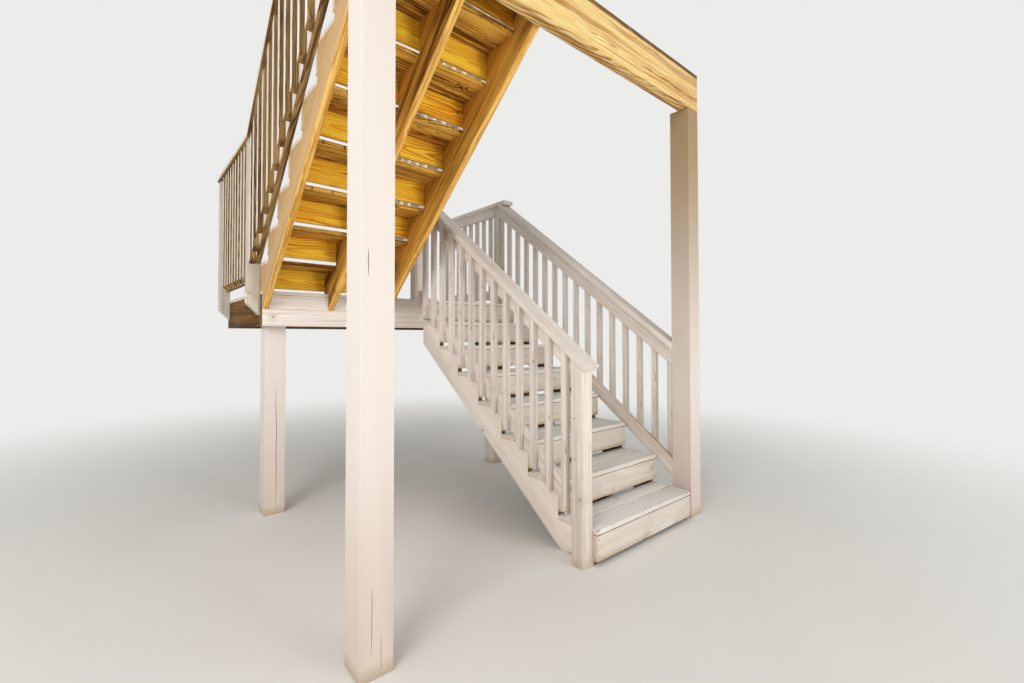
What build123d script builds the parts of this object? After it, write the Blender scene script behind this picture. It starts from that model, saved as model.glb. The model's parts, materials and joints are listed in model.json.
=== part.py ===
from build123d import *
import os

os.makedirs("parts", exist_ok=True)

# Wooden deck stairs that turn back on themselves: a lower flight, a landing
# against the wall and an upper flight that ends on a header beam.
# Millimetres, +Z up, the origin on the ground in the middle of the plan. The
# lower flight climbs towards +Y, the upper one back towards -Y beside it.

# Steps
RISE = 190.5
STEPS = 8
TREADS = STEPS - 1
LOWER_RUN = 250.0
UPPER_RUN = 228.0
LOWER_W = 991.0
UPPER_W = 914.0
LOWER_X = 84.0
LOWER_Y = -1497.0
BOARD_T = 25.0
BOARD_GAP = 3.0
RISER_H = 140.0
RISER_GAP = RISE - BOARD_T - RISER_H
LUMBER_T = 38.0
LOWER_THROAT = 120.0
UPPER_THROAT = 130.0
EDGE = 2.0

# Frame
RIM_H = 212.0
HEADER_H = 235.0
POST = 132.0
NEWEL = 80.0
LANDING_Z = STEPS * RISE
LANDING_DEPTH = 1219.0
DECK_Z = 2 * LANDING_Z
BEAM_T = 2 * LUMBER_T
RIM_Y = LOWER_Y + TREADS * LOWER_RUN + BOARD_T
WALL_Y = RIM_Y + LANDING_DEPTH
UPPER_SET = 110.0
WELL_W = 320.0
UPPER_X = LOWER_X - WELL_W - UPPER_W
UPPER_Y = RIM_Y + UPPER_SET
LANDING_LEFT = UPPER_X
LANDING_RIGHT = LOWER_X + LOWER_W + LUMBER_T
POST_SET = 14.0
POST_OUT = 74.0
POST_Y = LOWER_Y + POST_SET
POST_BACK = POST_Y + POST
NEAR_POST_X = UPPER_X - POST_OUT
RIGHT_POST_X = LANDING_RIGHT
HEADER_BACK = POST_Y + BEAM_T
HEADER_Z = DECK_Z - BOARD_T - HEADER_H
JOISTS = 5
DECK_BOARDS = 9
BOLT_X = 900.0
BOLT_Z = 135.0
BOLT_R = 6.5

# Guards, each in a plane of its own outside the steps
CAP_W = 120.0
CAP_T = LUMBER_T
CAP_IN = 27.0
CAP_EDGE = 8.0
CAP_LIP = 8.0
RAIL_H = 89.0
RAIL_T = LUMBER_T
LOWER_CAP = 874.0
UPPER_CAP = 840.0
LOW_RAIL = 53.0
BALUSTER = 36.0
BALUSTER_END = 7.0
LOWER_PITCH = 123.0
UPPER_PITCH = 119.0
LOWER_LEFT_GAP = 43.0
LOWER_RIGHT_GAP = 23.0
UPPER_LEFT_GAP = 84.0
UPPER_RIGHT_GAP = 37.0
GUARD_TOP = 1060.0
GUARD_LOW = 75.0
NEWEL_SET = 29.0
NEWEL_DROP = 163.0
TOP_LAP = 100.0
LEFT_SET = 55.0
RIGHT_SET = 237.0
LEVEL_LIP = 110.0
LEFT_BALUSTERS = 9
RIGHT_BALUSTERS = 6


class Flight:
    # A straight run of steps: its foot, its way along Y, its width, pitch and cap height.
    def __init__(self, x, y, z, way, width, run, throat, cap):
        self.x = x
        self.y = y
        self.z = z
        self.way = way
        self.width = width
        self.run = run
        self.cap = cap
        self.slope = RISE / run
        self.slant = (1 + self.slope**2) ** 0.5
        self.drop = throat * self.slant

    def at(self, points):
        # From (along, up) measured at the foot to (Y, Z).
        return [(self.y + self.way * u, self.z + w) for u, w in points]

    def nosing(self, u):
        # Height of the line through the tread noses.
        return RISE + u * self.slope

    def underside(self, u):
        # Height of a stringer's lower edge.
        return RISE - BOARD_T + (u - self.run - BOARD_T) * self.slope - self.drop

    def cap_under(self, u):
        return self.nosing(u) + self.cap - CAP_T * self.slant

    def teeth(self):
        # Saw-tooth upper edge of a cut stringer, from its foot to the last notch.
        points = [(BOARD_T, 0), (BOARD_T, RISE - BOARD_T)]
        for k in range(1, TREADS):
            points.append((k * self.run + BOARD_T, k * RISE - BOARD_T))
            points.append((k * self.run + BOARD_T, (k + 1) * RISE - BOARD_T))
        points.append((TREADS * self.run + BOARD_T, TREADS * RISE - BOARD_T))
        return points

    def beam(self, u0, u1, top, deep):
        # Side view of a raked board with plumb cut ends, its top at a height over the noses.
        high = self.nosing(u0) + top
        far = self.nosing(u1) + top
        return self.at([(u0, high - deep), (u1, far - deep), (u1, far), (u0, high)])


lower = Flight(LOWER_X, LOWER_Y, 0, 1, LOWER_W, LOWER_RUN, LOWER_THROAT, LOWER_CAP)
upper = Flight(UPPER_X, UPPER_Y, LANDING_Z, -1, UPPER_W, UPPER_RUN, UPPER_THROAT, UPPER_CAP)
upper_right = UPPER_X + UPPER_W


def side_view(points, x, thick, mode=Mode.ADD):
    # A prism in the open part: its side view drawn in YZ, its thickness along X.
    with BuildSketch(Plane.YZ.offset(x)) as view:
        with BuildLine():
            Polyline(points, close=True)
        make_face()
    extrude(view.sketch, amount=thick, mode=mode)


def front_view(points, y, thick):
    # A prism in the open part: its front view drawn in XZ, its thickness towards +Y.
    with BuildSketch(Plane.XZ.offset(-y)) as view:
        with BuildLine():
            Polyline(points, close=True)
        make_face()
    extrude(view.sketch, amount=-thick)


def finish(piece, name):
    piece.part.label = name
    export_step(piece.part, "parts/" + name + ".step")


# Cut stringers of the lower flight: level seat on the ground, plumb cut at the rim
lower_end = RIM_Y - LOWER_Y
heel = LOWER_RUN + BOARD_T + (lower.drop - (RISE - BOARD_T)) / lower.slope
lower_cut = lower.teeth() + [(lower_end, lower.underside(lower_end)), (heel, 0)]
for side, share in (("left", 0), ("middle", 0.5), ("right", 1)):
    with BuildPart() as stringer:
        side_view(lower.at(lower_cut), LOWER_X + share * (LOWER_W - LUMBER_T), LUMBER_T)
    finish(stringer, "lower_stringer_" + side)

# Cut stringers of the upper flight: seat on the landing, level top under the deck boards,
# plumb cut at the header, and the left one notched over the near post
foot = UPPER_Y - RIM_Y
reach = UPPER_Y - HEADER_BACK
deck_u = TREADS * UPPER_RUN + BOARD_T
deck_w = STEPS * RISE - BOARD_T
upper_cut = upper.teeth() + [(deck_u, deck_w), (reach, deck_w), (reach, upper.underside(reach))]
upper_cut += [(foot, upper.underside(foot)), (foot, 0)]
for side, share in (("left", 0), ("middle", 0.5), ("right", 1)):
    with BuildPart() as stringer:
        side_view(upper.at(upper_cut), UPPER_X + share * (UPPER_W - LUMBER_T), LUMBER_T)
        with Locations((NEAR_POST_X + POST / 2, POST_Y + POST / 2, HEADER_Z / 2)):
            Box(POST, POST, HEADER_Z, mode=Mode.SUBTRACT)
    finish(stringer, "upper_stringer_" + side)


# Treads: two boards each, screwed down on the notches
def tread(flight, k, name):
    board_w = (flight.run + BOARD_T - BOARD_GAP) / 2
    with BuildPart() as boards:
        for n in (0.5, 1.5):
            along = (k - 1) * flight.run + n * board_w + (n - 0.5) * BOARD_GAP
            y = flight.y + flight.way * along
            with Locations((flight.x + flight.width / 2, y, flight.z + k * RISE - BOARD_T / 2)):
                Box(flight.width, board_w, BOARD_T)
        fillet(boards.edges().filter_by(Axis.X).group_by(Axis.Z)[-1], EDGE)
    finish(boards, name)


# Risers: one board for each step, with an open slot under it
def risers(flight, name):
    with BuildPart() as boards:
        for k in range(STEPS):
            y = flight.y + flight.way * (k * flight.run + BOARD_T / 2)
            z = flight.z + k * RISE + RISER_GAP + RISER_H / 2
            with Locations((flight.x + flight.width / 2, y, z)):
                Box(flight.width, BOARD_T, RISER_H)
    finish(boards, name)


for k in range(1, STEPS):
    tread(lower, k, "lower_tread_" + str(k))
    tread(upper, k, "upper_tread_" + str(k))
risers(lower, "lower_risers")
risers(upper, "upper_risers")

# Landing frame: a doubled rim in front, side rims, a ledger at the wall and joists
rim_z = LANDING_Z - BOARD_T - RIM_H / 2
landing_w = LANDING_RIGHT - LANDING_LEFT
landing_x = (LANDING_RIGHT + LANDING_LEFT) / 2
with BuildPart() as landing_front_rim:
    with Locations((landing_x, RIM_Y + BEAM_T / 2, rim_z)):
        Box(landing_w, BEAM_T, RIM_H)
finish(landing_front_rim, "landing_front_rim")

with BuildPart() as landing_ledger:
    with Locations((landing_x, WALL_Y - LUMBER_T / 2, rim_z)):
        Box(landing_w, LUMBER_T, RIM_H)
    with BuildSketch(Plane.XZ.offset(-WALL_Y)):
        with Locations((landing_x, rim_z)):
            with GridLocations(BOLT_X, BOLT_Z, 2, 2):
                Circle(BOLT_R)
    extrude(amount=LUMBER_T, mode=Mode.SUBTRACT)
finish(landing_ledger, "landing_ledger")

joist_l = LANDING_DEPTH - BEAM_T - LUMBER_T
joist_y = RIM_Y + BEAM_T + joist_l / 2
with BuildPart() as landing_side_rims:
    with Locations((LANDING_LEFT + LUMBER_T / 2, joist_y, rim_z)):
        Box(LUMBER_T, joist_l, RIM_H)
    with Locations((LANDING_RIGHT - BEAM_T / 2, joist_y, rim_z)):
        Box(BEAM_T, joist_l, RIM_H)
finish(landing_side_rims, "landing_side_rims")

# Posts under the landing, inside its rims, up to the underside of the decking
post_l = LANDING_Z - BOARD_T
left_post_x = LANDING_LEFT + LUMBER_T
right_post_x = LANDING_RIGHT - BEAM_T - POST
with BuildPart() as landing_posts:
    for x in (left_post_x + POST / 2, right_post_x + POST / 2):
        with Locations((x, RIM_Y + BEAM_T + POST / 2, post_l / 2)):
            Box(POST, POST, post_l)
    fillet(landing_posts.edges().filter_by(Axis.Z), EDGE)
finish(landing_posts, "landing_posts")

joist_from = left_post_x + POST
joist_step = (right_post_x - joist_from - LUMBER_T) / (JOISTS + 1)
with BuildPart() as landing_joists:
    for n in range(1, JOISTS + 1):
        with Locations((joist_from + LUMBER_T / 2 + n * joist_step, joist_y, rim_z)):
            Box(LUMBER_T, joist_l, RIM_H)
finish(landing_joists, "landing_joists")

# Decking of the landing; its first board is also the nosing over the lower flight
board_w = (LANDING_DEPTH - (DECK_BOARDS - 1) * BOARD_GAP) / DECK_BOARDS
deck_z = LANDING_Z - BOARD_T / 2
with BuildPart() as landing_decking:
    for n in range(DECK_BOARDS):
        with Locations((landing_x, RIM_Y + board_w / 2 + n * (board_w + BOARD_GAP), deck_z)):
            Box(landing_w, board_w, BOARD_T)
    with Locations((LOWER_X + LOWER_W / 2, RIM_Y - BOARD_T / 2, deck_z)):
        Box(LOWER_W, BOARD_T, BOARD_T)
finish(landing_decking, "landing_decking")

# Tall posts with the header beam on top, flush with their fronts
with BuildPart() as deck_posts:
    for x in (NEAR_POST_X + POST / 2, RIGHT_POST_X + POST / 2):
        with Locations((x, POST_Y + POST / 2, HEADER_Z / 2)):
            Box(POST, POST, HEADER_Z)
    fillet(deck_posts.edges().filter_by(Axis.Z), EDGE)
finish(deck_posts, "deck_posts")

header_w = RIGHT_POST_X + POST - NEAR_POST_X
header_x = NEAR_POST_X + header_w / 2
with BuildPart() as header_beam:
    with Locations((header_x, POST_Y + BEAM_T / 2, HEADER_Z + HEADER_H / 2)):
        Box(header_w, BEAM_T, HEADER_H)
finish(header_beam, "header_beam")

# Deck boards: one along the header, two over the level tops of the upper stringers
riser_y = UPPER_Y - TREADS * UPPER_RUN
top_board = (riser_y - HEADER_BACK - 2 * BOARD_GAP) / 2
with BuildPart() as header_decking:
    with Locations((header_x, POST_Y + BEAM_T / 2, DECK_Z - BOARD_T / 2)):
        Box(header_w, BEAM_T, BOARD_T)
    for n in range(2):
        y = HEADER_BACK + BOARD_GAP + top_board / 2 + n * (top_board + BOARD_GAP)
        with Locations((UPPER_X + UPPER_W / 2, y, DECK_Z - BOARD_T / 2)):
            Box(UPPER_W, top_board, BOARD_T)
    fillet(header_decking.edges().filter_by(Axis.X).group_by(Axis.Z)[-1], EDGE)
finish(header_decking, "header_decking")


# Newels that lap a stringer or stand on the landing, cut to the slope under the cap
def newel(flight, low, foot_low, foot_high, x):
    high = low + NEWEL
    cut = [(low, foot_low), (high, foot_high)]
    cut += [(high, flight.cap_under(high)), (low, flight.cap_under(low))]
    side_view(flight.at(cut), x, NEWEL)


with BuildPart() as lower_newel:
    newel(lower, NEWEL_SET, 0, 0, LOWER_X - NEWEL)
finish(lower_newel, "lower_newel")

centre_low = RIM_Y - LOWER_Y
turn_low = UPPER_Y - RIM_Y - NEWEL
with BuildPart() as centre_newels:
    newel(lower, centre_low, LANDING_Z, LANDING_Z, LOWER_X - NEWEL)
    newel(upper, turn_low, 0, 0, upper_right)
finish(centre_newels, "centre_newels")

top_low = TREADS * UPPER_RUN
top_foot = STEPS * RISE - BOARD_T - TOP_LAP
with BuildPart() as top_newels:
    for x in (UPPER_X - NEWEL, upper_right):
        newel(upper, top_low, top_foot, top_foot, x)
finish(top_newels, "top_newels")

# Newels of the landing, lapped on its side rims, with bevelled feet
guard_under = LANDING_Z + GUARD_TOP - CAP_T
foot_z = LANDING_Z - NEWEL_DROP
left_y = RIM_Y + LEFT_SET
right_y = RIM_Y + RIGHT_SET


def bevelled(face, out, near, low, top, thick):
    # Front view of a hanging post whose foot slants up away from the rim.
    x = face + out * near
    return [(x, low), (x, top), (x + out * thick, top), (x + out * thick, low + thick)]


with BuildPart() as landing_newels:
    for face, out, y in (
        (LANDING_LEFT, -1, left_y),
        (LANDING_LEFT, -1, WALL_Y - NEWEL),
        (LANDING_RIGHT, 1, right_y),
        (LANDING_RIGHT, 1, WALL_Y - NEWEL),
    ):
        front_view(bevelled(face, out, 0, foot_z, guard_under, NEWEL), y, NEWEL)
finish(landing_newels, "landing_newels")


# Raked guards: a rounded cap, a rail under it and a rail along the steps
def start(face, out, near, far):
    # Lower X of what lies between two distances out from a guard's plane.
    return min(face + out * near, face + out * far)


def rake_rails(flight, face, out, cap_run, rail_run, name, square=False, level_y=None):
    cap_v = CAP_T * flight.slant
    rail_v = RAIL_H * flight.slant
    cap = flight.beam(*cap_run, flight.cap, cap_v)
    if square:
        low_y, low_z = cap[0]
        lean = flight.slope * CAP_T / flight.slant
        cap[3] = (low_y - flight.way * lean, low_z + CAP_T / flight.slant)
    with BuildPart() as rails:
        side_view(cap, start(face, out, -CAP_IN, CAP_W - CAP_IN), CAP_W)
        rounded = rails.edges().sort_by(SortBy.LENGTH)[-4:]
        if square:
            rounded += rails.edges().sort_by(Axis.Y)[:4].filter_by(Axis.X)
        fillet(rounded, CAP_EDGE)
        rail_x = start(face, out, 0, RAIL_T)
        side_view(flight.beam(*rail_run, flight.cap - cap_v, rail_v), rail_x, RAIL_T)
        side_view(flight.beam(*rail_run, rail_v - LOW_RAIL, rail_v), rail_x, RAIL_T)
        if level_y is not None:
            # The raked boards stop under the level cap.
            with Locations((face, level_y, guard_under + RISE)):
                Box(2 * CAP_W, 2 * LEVEL_LIP, 2 * RISE, mode=Mode.SUBTRACT)
    finish(rails, name)


lower_back = NEWEL_SET + NEWEL
post_back = POST_BACK - LOWER_Y
right_end = right_y - LOWER_Y
left_start = UPPER_Y - left_y
turn_high = turn_low + NEWEL
top_high = top_low + NEWEL
rake_rails(lower, LOWER_X, -1, (NEWEL_SET - CAP_LIP, centre_low + NEWEL),
           (lower_back, centre_low), "lower_left_rails", square=True)
rake_rails(lower, LANDING_RIGHT, 1, (post_back, right_end), (post_back, right_end),
           "lower_right_rails", level_y=right_y)
rake_rails(upper, UPPER_X, -1, (left_start, top_high), (left_start, top_low),
           "upper_left_rails")
rake_rails(upper, upper_right, 1, (turn_low - CAP_LIP, top_high), (turn_high, top_low),
           "upper_right_rails")


# Raked balusters outside the rails: bevelled foot, top cut to the slope
def rake_balusters(flight, face, out, near, far, gap, pitch, name):
    first = near + gap
    count = int((far - first - BALUSTER) / pitch) + 1
    with BuildPart() as balusters:
        for n in range(count):
            a = first + n * pitch
            b = a + BALUSTER
            low = flight.nosing(a) - LOW_RAIL - BALUSTER_END
            cut = [(a, low), (b, low + BALUSTER), (b, flight.cap_under(b)), (a, flight.cap_under(a))]
            side_view(flight.at(cut), start(face, out, RAIL_T, RAIL_T + BALUSTER), BALUSTER)
    finish(balusters, name)


rake_balusters(lower, LOWER_X, -1, lower_back, centre_low, LOWER_LEFT_GAP, LOWER_PITCH,
               "lower_left_balusters")
rake_balusters(lower, LANDING_RIGHT, 1, post_back, right_end, LOWER_RIGHT_GAP, LOWER_PITCH,
               "lower_right_balusters")
rake_balusters(upper, UPPER_X, -1, left_start, top_low, UPPER_LEFT_GAP, UPPER_PITCH,
               "upper_left_balusters")
rake_balusters(upper, upper_right, 1, turn_high, top_low, UPPER_RIGHT_GAP, UPPER_PITCH,
               "upper_right_balusters")


# Level guards on both sides of the landing, with their balusters evenly spaced
def level_guard(face, out, cap_y, corner_y, count, side):
    front_y = corner_y + NEWEL
    end_y = WALL_Y - NEWEL
    rail_x = start(face, out, 0, RAIL_T) + RAIL_T / 2
    cap_x = start(face, out, -CAP_IN, CAP_W - CAP_IN) + CAP_W / 2
    with BuildPart() as rails:
        with Locations((cap_x, (cap_y + WALL_Y) / 2, guard_under + CAP_T / 2)):
            Box(CAP_W, WALL_Y - cap_y, CAP_T)
        fillet(rails.edges().filter_by(Axis.Y), CAP_EDGE)
        for z in (guard_under - RAIL_H / 2, LANDING_Z + GUARD_LOW + RAIL_H / 2):
            with Locations((rail_x, (front_y + end_y) / 2, z)):
                Box(RAIL_T, end_y - front_y, RAIL_H)
    finish(rails, "landing_" + side + "_rails")
    step = (end_y - front_y) / (count + 1)
    low = LANDING_Z + GUARD_LOW - BALUSTER_END
    with BuildPart() as balusters:
        for n in range(1, count + 1):
            y = front_y + n * step - BALUSTER / 2
            front_view(bevelled(face, out, RAIL_T, low, guard_under, BALUSTER), y, BALUSTER)
    finish(balusters, "landing_" + side + "_balusters")


level_guard(LANDING_LEFT, -1, left_y, left_y, LEFT_BALUSTERS, "left")
level_guard(LANDING_RIGHT, 1, right_y - LEVEL_LIP, right_y, RIGHT_BALUSTERS, "right")
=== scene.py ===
# %% [markdown]
# # Wooden deck stairs that turn back on a landing
#
# The stairs are built like the real ones: cut stringers carry two-board treads, the flights meet
# on a framed landing, and a header beam on two tall posts carries the top. The packed model
# already holds every board at its true size, so this lesson is about turning plain solids into
# timber: rounded arrises, grain that runs along each board, paint that has worn, and fixings.
#
# First the packed model is loaded. Nothing that is added may stand out of it by more than the height
# of a screw head.

# %% Load the packed model
import json
import math
import random

import bpy
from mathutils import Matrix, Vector

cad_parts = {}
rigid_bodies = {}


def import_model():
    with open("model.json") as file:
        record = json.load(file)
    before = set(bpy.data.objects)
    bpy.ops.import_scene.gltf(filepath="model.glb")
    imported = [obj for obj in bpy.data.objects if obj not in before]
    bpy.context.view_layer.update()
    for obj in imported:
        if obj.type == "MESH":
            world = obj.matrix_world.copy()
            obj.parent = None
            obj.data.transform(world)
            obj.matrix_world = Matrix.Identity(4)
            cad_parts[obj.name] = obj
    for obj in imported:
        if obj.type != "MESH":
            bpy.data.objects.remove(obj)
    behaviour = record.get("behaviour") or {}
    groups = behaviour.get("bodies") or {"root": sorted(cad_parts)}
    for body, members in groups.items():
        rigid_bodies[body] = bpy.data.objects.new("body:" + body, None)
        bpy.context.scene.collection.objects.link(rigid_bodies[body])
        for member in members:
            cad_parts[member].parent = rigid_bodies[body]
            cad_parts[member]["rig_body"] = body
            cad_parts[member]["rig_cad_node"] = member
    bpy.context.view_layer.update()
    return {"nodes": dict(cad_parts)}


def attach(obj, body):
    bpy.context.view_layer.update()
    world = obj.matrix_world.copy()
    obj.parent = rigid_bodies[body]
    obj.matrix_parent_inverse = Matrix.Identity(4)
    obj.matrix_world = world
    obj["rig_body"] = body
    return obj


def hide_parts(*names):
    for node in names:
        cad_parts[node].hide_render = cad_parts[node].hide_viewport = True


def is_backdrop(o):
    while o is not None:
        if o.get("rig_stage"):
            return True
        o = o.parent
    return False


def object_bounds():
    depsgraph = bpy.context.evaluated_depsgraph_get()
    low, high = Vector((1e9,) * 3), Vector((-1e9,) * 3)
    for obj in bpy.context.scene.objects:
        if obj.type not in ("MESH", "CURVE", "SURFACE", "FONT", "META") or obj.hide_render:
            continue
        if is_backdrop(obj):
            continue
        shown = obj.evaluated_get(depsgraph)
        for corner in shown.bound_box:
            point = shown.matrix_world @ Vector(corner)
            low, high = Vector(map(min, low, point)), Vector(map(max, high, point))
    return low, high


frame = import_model()

# %% [markdown]
# ## Where the camera stands
#
# The stairs are looked at from a little over a metre above the floor, in front of the near post
# and with a wide lens. A photograph is seldom taken with the lens exactly in the middle of the
# picture, so a small shift stands for that. The picture's size, the focal length and the lens's
# own middle are in pixels, and the angles are in degrees.

# %% Camera
WIDTH = 1024
HEIGHT = 683
FOCAL = 453.98
CENTRE = (488.87, 327.23)
SENSOR_MM = 36
EYE = (-1.8832, -3.0103, 1.2221)
LOOK_UP = 1.08
LOOK_ASIDE = -39.106

lens = bpy.data.cameras.new("eye")
lens.sensor_width = SENSOR_MM
lens.lens = FOCAL / WIDTH * SENSOR_MM
lens.shift_x = (WIDTH / 2 - CENTRE[0]) / WIDTH
lens.shift_y = (CENTRE[1] - HEIGHT / 2) / WIDTH
camera = bpy.data.objects.new("eye", lens)
camera.location = EYE
camera.rotation_euler = (math.radians(90 + LOOK_UP), 0, math.radians(LOOK_ASIDE))
bpy.context.scene.collection.objects.link(camera)
bpy.context.scene.camera = camera
print("lens", round(lens.lens, 2), "mm, shift", round(lens.shift_x, 4), round(lens.shift_y, 4))

# %% [markdown]
# ## Floor and light
#
# A pale floor and a pale sky keep the eye on the timber. Daylight comes from the open side, on
# the left of the picture, as a very large soft lamp high up and a weaker one near the floor. Two
# more fill the fronts and the undersides, which would otherwise be as dark as a cellar. The low
# lamps stand far off, so that they light the stairs and don't burn white patches into the floor.
#
# A lamp's row holds its name, its place, what it aims at, how wide its disc is, its power in
# watts and its colour. The floor lies a millimetre low, so that no post's foot shares its plane.

# %% Floor and lamps
NEUTRAL = (1.0, 0.995, 0.99)
WARM = (1.0, 0.988, 0.97)
LAMPS = (
    ("open_side", (-5.5, -3.6, 3.6), (-0.6, -0.6, 1.5), 3.5, 190, NEUTRAL),
    ("side_fill", (-7.2, -0.6, 1.2), (0.1, -0.6, 0.9), 2.0, 66, NEUTRAL),
    ("front_fill", (3.0, -6.5, 2.2), (0.8, -0.8, 1.6), 4.0, 46, NEUTRAL),
    ("low_fill", (1.0, -7.4, 0.9), (-0.6, -0.3, 2.4), 1.6, 148, WARM),
)
FLOOR_SIZE = 60
FLOOR_DROP = 0.001

for name, place, aim, width, power, colour in LAMPS:
    light = bpy.data.lights.new(name, "AREA")
    light.shape = "DISK"
    light.size = width
    light.energy = power
    light.color = colour
    holder = bpy.data.objects.new(name, light)
    holder.location = place
    holder.rotation_euler = (Vector(aim) - Vector(place)).to_track_quat("-Z", "Y").to_euler()
    bpy.context.scene.collection.objects.link(holder)
bpy.context.scene.view_settings.view_transform = "Standard"
bpy.ops.mesh.primitive_plane_add(size=FLOOR_SIZE, location=(0, 0, -FLOOR_DROP))
floor = bpy.context.object
floor.name = "floor"
floor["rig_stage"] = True
print("lamps", [row[0] for row in LAMPS], "floor", FLOOR_SIZE, "m wide")

# %% [markdown]
# ## A shorthand for shader maths
#
# A wood pattern is a good deal of arithmetic. Wiring thirty Math nodes by hand hides the idea, so
# a socket is wrapped in a small class, and then a + b adds the node that adds them.

# %% Sockets that can be added and multiplied
class Wire:
    def __init__(self, shop, socket):
        self.shop = shop
        self.socket = socket

    def math(self, operation, *values):
        return self.shop.node("ShaderNodeMath", {"operation": operation}, dict(enumerate(values)))

    def __add__(self, other):
        return self.math("ADD", self, other)

    def __radd__(self, other):
        return self.math("ADD", other, self)

    def __sub__(self, other):
        return self.math("SUBTRACT", self, other)

    def __rsub__(self, other):
        return self.math("SUBTRACT", other, self)

    def __mul__(self, other):
        return self.math("MULTIPLY", self, other)

    def __rmul__(self, other):
        return self.math("MULTIPLY", other, self)

    def __truediv__(self, other):
        return self.math("DIVIDE", self, other)

    def __rtruediv__(self, other):
        return self.math("DIVIDE", other, self)

    def __pow__(self, power):
        return self.math("POWER", self, power)

    def __abs__(self):
        return self.math("ABSOLUTE", self)

    def fraction(self):
        return self.math("FRACT", self)

    def low(self, other):
        return self.math("MINIMUM", self, other)

    def high(self, other):
        return self.math("MAXIMUM", self, other)

    def ramp(self, start, end):
        # 0 below start, 1 above end, smooth between them; start may be the larger one.
        settings = {"interpolation_type": "SMOOTHSTEP"}
        if start > end:
            inputs = {"Value": self, "From Min": end, "From Max": start, "To Min": 1, "To Max": 0}
        else:
            inputs = {"Value": self, "From Min": start, "From Max": end}
        return self.shop.node("ShaderNodeMapRange", settings, inputs)

    def beside(self, name):
        # Another output of the same node.
        return Wire(self.shop, self.socket.node.outputs[name])


print("a socket now knows", sorted(word for word in vars(Wire) if not word.startswith("_")))

# %% [markdown]
# ## A shop for each material
#
# A node is ordered from the shop by its type, its settings, and the values or wires of its
# inputs, and the shop wires it up. There is a shop for the sky too, which has nodes of its own.

# %% Nodes by order
class Shop:
    def __init__(self, owner):
        owner.use_nodes = True
        self.owner = owner
        self.tree = owner.node_tree

    def put(self, socket, value):
        if isinstance(value, Wire):
            self.tree.links.new(value.socket, socket)
        else:
            socket.default_value = value

    def feed(self, name, value):
        # Sets or wires a socket of the material's own shader.
        self.put(self.tree.nodes["Principled BSDF"].inputs[name], value)

    def node(self, kind, settings=None, inputs=None, out=0):
        made = self.tree.nodes.new(kind)
        for key, value in (settings or {}).items():
            setattr(made, key, value)
        for key, value in (inputs or {}).items():
            self.put(made.inputs[key], value)
        return Wire(self, made.outputs[out])

    def place(self):
        # Where a point is, in metres, because every finished piece sits at the origin.
        return self.node("ShaderNodeTexCoord", out="Object")

    def parts(self, vector):
        first = self.node("ShaderNodeSeparateXYZ", None, {0: vector})
        return first, first.beside("Y"), first.beside("Z")

    def own(self, name):
        # The three numbers of an attribute of the piece.
        return self.parts(self.node("ShaderNodeAttribute", {"attribute_name": name}, out="Vector"))

    def point(self, x, y, z):
        return self.node("ShaderNodeCombineXYZ", None, {0: x, 1: y, 2: z})

    def noise(self, place, scale, detail=3.0, rough=0.5):
        inputs = {"Vector": place, "Scale": scale, "Detail": detail, "Roughness": rough}
        return self.node("ShaderNodeTexNoise", None, inputs)

    def mix(self, share, first, second):
        # Colours go through Mix, because a Math node would turn them grey.
        settings = {"data_type": "RGBA", "blend_type": "MIX"}
        return self.node("ShaderNodeMix", settings, {0: share, 6: first, 7: second}, out=2)

    def bump(self, height, strength, distance):
        inputs = {"Height": height, "Strength": strength, "Distance": distance}
        return self.node("ShaderNodeBump", None, inputs)


def srgb(red, green, blue):
    # A colour as a paint chart gives it, 0 to 255, made linear by the sRGB standard's formula.
    parts = [v / 255 for v in (red, green, blue)]
    return (*[v / 12.92 if v <= 0.04045 else ((v + 0.055) / 1.055) ** 2.4 for v in parts], 1.0)


print("mid grey is", [round(v, 3) for v in srgb(128, 128, 128)[:3]])

# %% [markdown]
# ## The floor's finish
#
# The floor is matt with a faint mottle, so that shadows lie on it without a hard shine. Far from
# the stairs it fades into the pale colour that the eye sees in the sky, so no horizon cuts the
# picture in two. That fade is only for the eye and gives no light.

# %% Floor finish
PALE = srgb(236, 236, 234)
FADE_FROM = 1.5
FADE_TO = 6.5

ground = Shop(bpy.data.materials.new("pale_floor"))
here = ground.place()
mottle = ground.noise(here, 1.5, 4.0)
ground.feed("Base Color", ground.mix(mottle, srgb(232, 230, 226), srgb(240, 238, 234)))
ground.feed("Roughness", 0.9)
reach = ground.node("ShaderNodeVectorMath", {"operation": "LENGTH"}, {0: here}, out="Value")
eye = ground.node("ShaderNodeLightPath", out="Is Camera Ray")
glow = ground.node("ShaderNodeEmission", None, {"Color": PALE, "Strength": 1.0})
matt = Wire(ground, ground.tree.nodes["Principled BSDF"].outputs[0])
share = reach.ramp(FADE_FROM, FADE_TO) * eye
faded = ground.node("ShaderNodeMixShader", None, {0: share, 1: matt, 2: glow})
ground.put(ground.tree.nodes["Material Output"].inputs["Surface"], faded)
floor.data.materials.append(ground.owner)
print("the floor fades from", FADE_FROM, "m to", FADE_TO, "m")

# %% [markdown]
# ## The sky
#
# The sky lights the stairs evenly from all around, and weakly, so that the lamps still model the
# boards. A ray that comes straight from the eye, or by way of metal or glass, sees the same pale
# colour as the floor fades into. All other rays see the sky's light.

# %% Sky
SKY_COLOUR = srgb(250, 249, 246)
SKY_STRENGTH = 0.46

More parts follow.
